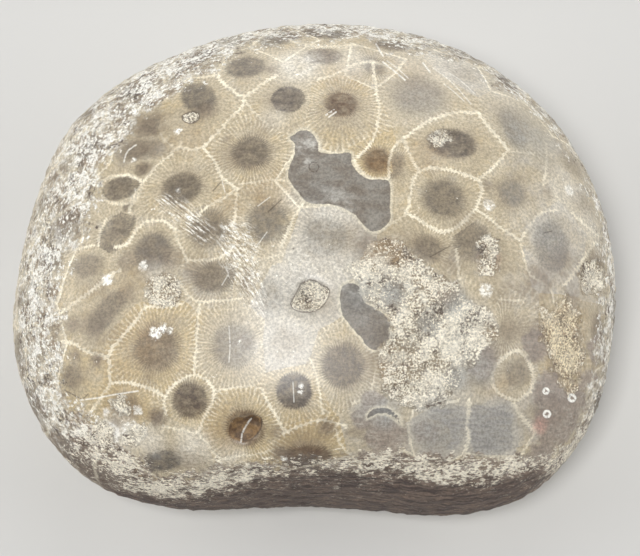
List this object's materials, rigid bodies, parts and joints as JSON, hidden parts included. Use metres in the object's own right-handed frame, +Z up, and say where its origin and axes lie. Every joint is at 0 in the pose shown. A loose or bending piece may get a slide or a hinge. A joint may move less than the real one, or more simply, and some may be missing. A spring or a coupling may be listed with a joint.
{
  "type": "petoskey stone",
  "caption": "Rounded pebble of fossil colony coral limestone with a polished dome, weathered sides and a small flat spot underneath that it rests on.",
  "frame": {"origin": "middle of the stone's box in plan, on the level of the small flat spot it rests on", "axes": "+X along the stone's long way, +Y away from the viewer towards the evenly curved edge, -Y towards the hollow edge, +Z up through the polished dome"},
  "size_m": [0.0841, 0.0718, 0.0381],
  "materials": {
    "coral_limestone": "hand polished fossil coral limestone with a soft gloss, matte where it is pitted and weathered"
  },
  "bodies": {
    "root": {"petoskey_stone": "coral_limestone"}
  },
  "joints": []
}
